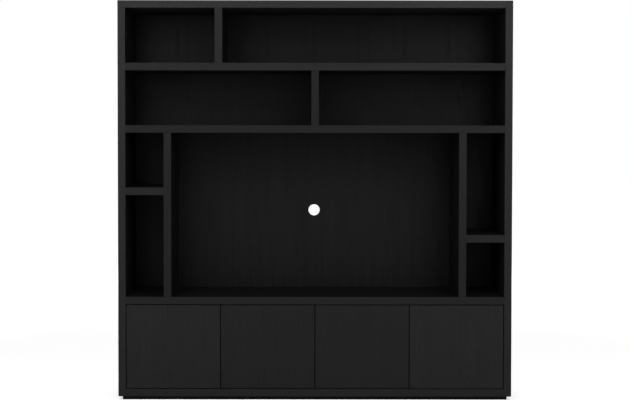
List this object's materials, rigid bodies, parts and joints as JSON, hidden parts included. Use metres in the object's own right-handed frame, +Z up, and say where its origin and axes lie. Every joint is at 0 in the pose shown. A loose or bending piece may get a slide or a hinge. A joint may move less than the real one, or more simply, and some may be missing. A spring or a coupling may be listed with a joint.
{
  "type": "tv stand",
  "caption": "Tall wall unit with open shelf rows, a wide television bay between narrow niches, and a base with flush push-to-open doors on a recessed plinth.",
  "frame": {"origin": "on the floor, in the middle of the unit's width and depth", "axes": "+X to the right seen from the front, +Y towards the wall, +Z up; the doors face -Y"},
  "size_m": [2, 0.42, 2.032],
  "materials": {
    "stained_oak": "black-stained oak veneer, fine grain, satin",
    "stained_back": "black-stained oak veneer, vertical grain, matt",
    "door_lacquer": "black-stained oak veneer under a satin lacquer",
    "nickel": "nickel-plated steel",
    "striker_steel": "zinc-plated steel",
    "black_nylon": "moulded nylon, matt"
  },
  "bodies": {
    "carcass": {"side_left": "stained_oak", "side_right": "stained_oak", "bottom_panel": "stained_oak", "tv_deck": "stained_oak", "shelf_middle": "stained_oak", "shelf_upper": "stained_oak", "top_panel": "stained_oak", "divider_upper": "stained_oak", "divider_middle": "stained_oak", "upright_left": "stained_oak", "upright_right": "stained_oak", "niche_shelf_left": "stained_oak", "niche_shelf_right": "stained_oak", "plinth_frame": "stained_oak", "base_partition": "stained_oak", "cupboard_shelf_left": "stained_oak", "cupboard_shelf_right": "stained_oak", "back_upper": "stained_back", "back_middle": "stained_back", "back_bay": "stained_back", "back_base": "stained_back", "shelf_pin_left_1": "nickel", "shelf_pin_left_2": "nickel", "shelf_pin_left_3": "nickel", "shelf_pin_left_4": "nickel", "shelf_pin_right_1": "nickel", "shelf_pin_right_2": "nickel", "shelf_pin_right_3": "nickel", "shelf_pin_right_4": "nickel", "pivot_bush_1_top": "black_nylon", "pivot_bush_1_bottom": "black_nylon", "pivot_bush_2_top": "black_nylon", "pivot_bush_2_bottom": "black_nylon", "pivot_bush_3_top": "black_nylon", "pivot_bush_3_bottom": "black_nylon", "pivot_bush_4_top": "black_nylon", "pivot_bush_4_bottom": "black_nylon", "latch_housing_left": "black_nylon", "latch_housing_right": "black_nylon"},
    "door_1": {"door_1": "door_lacquer", "pivot_leaf_1_top": "nickel", "pivot_leaf_1_bottom": "nickel", "striker_1": "striker_steel"},
    "door_2": {"door_2": "door_lacquer", "pivot_leaf_2_top": "nickel", "pivot_leaf_2_bottom": "nickel", "striker_2": "striker_steel"},
    "door_3": {"door_3": "door_lacquer", "pivot_leaf_3_top": "nickel", "pivot_leaf_3_bottom": "nickel", "striker_3": "striker_steel"},
    "door_4": {"door_4": "door_lacquer", "pivot_leaf_4_top": "nickel", "pivot_leaf_4_bottom": "nickel", "striker_4": "striker_steel"},
    "plunger_1": {"plunger_1": "black_nylon"},
    "plunger_2": {"plunger_2": "black_nylon"},
    "plunger_3": {"plunger_3": "black_nylon"},
    "plunger_4": {"plunger_4": "black_nylon"}
  },
  "joints": [
    {"name": "door_1_swing", "type": "hinge", "parent": "carcass", "child": "door_1", "pos_m": [-0.943, -0.202, 0.274], "axis": [0, 0, -1], "range_deg": [0, 110]},
    {"name": "door_2_swing", "type": "hinge", "parent": "carcass", "child": "door_2", "pos_m": [-0.017, -0.202, 0.274], "axis": [0, 0, 1], "range_deg": [0, 90]},
    {"name": "door_3_swing", "type": "hinge", "parent": "carcass", "child": "door_3", "pos_m": [0.017, -0.202, 0.274], "axis": [0, 0, -1], "range_deg": [0, 90]},
    {"name": "door_4_swing", "type": "hinge", "parent": "carcass", "child": "door_4", "pos_m": [0.943, -0.202, 0.274], "axis": [0, 0, 1], "range_deg": [0, 110]},
    {"name": "plunger_1_slide", "type": "slide", "parent": "carcass", "child": "plunger_1", "axis": [0, -1, 0], "range_m": [0, 0.012]},
    {"name": "plunger_2_slide", "type": "slide", "parent": "carcass", "child": "plunger_2", "axis": [0, -1, 0], "range_m": [0, 0.012]},
    {"name": "plunger_3_slide", "type": "slide", "parent": "carcass", "child": "plunger_3", "axis": [0, -1, 0], "range_m": [0, 0.012]},
    {"name": "plunger_4_slide", "type": "slide", "parent": "carcass", "child": "plunger_4", "axis": [0, -1, 0], "range_m": [0, 0.012]}
  ],
  "couplings": [
    {"joint": "plunger_1_slide", "follows": "door_1_swing", "m_per_rad": 0.00625},
    {"joint": "plunger_2_slide", "follows": "door_2_swing", "m_per_rad": 0.007639},
    {"joint": "plunger_3_slide", "follows": "door_3_swing", "m_per_rad": 0.007639},
    {"joint": "plunger_4_slide", "follows": "door_4_swing", "m_per_rad": 0.00625}
  ]
}
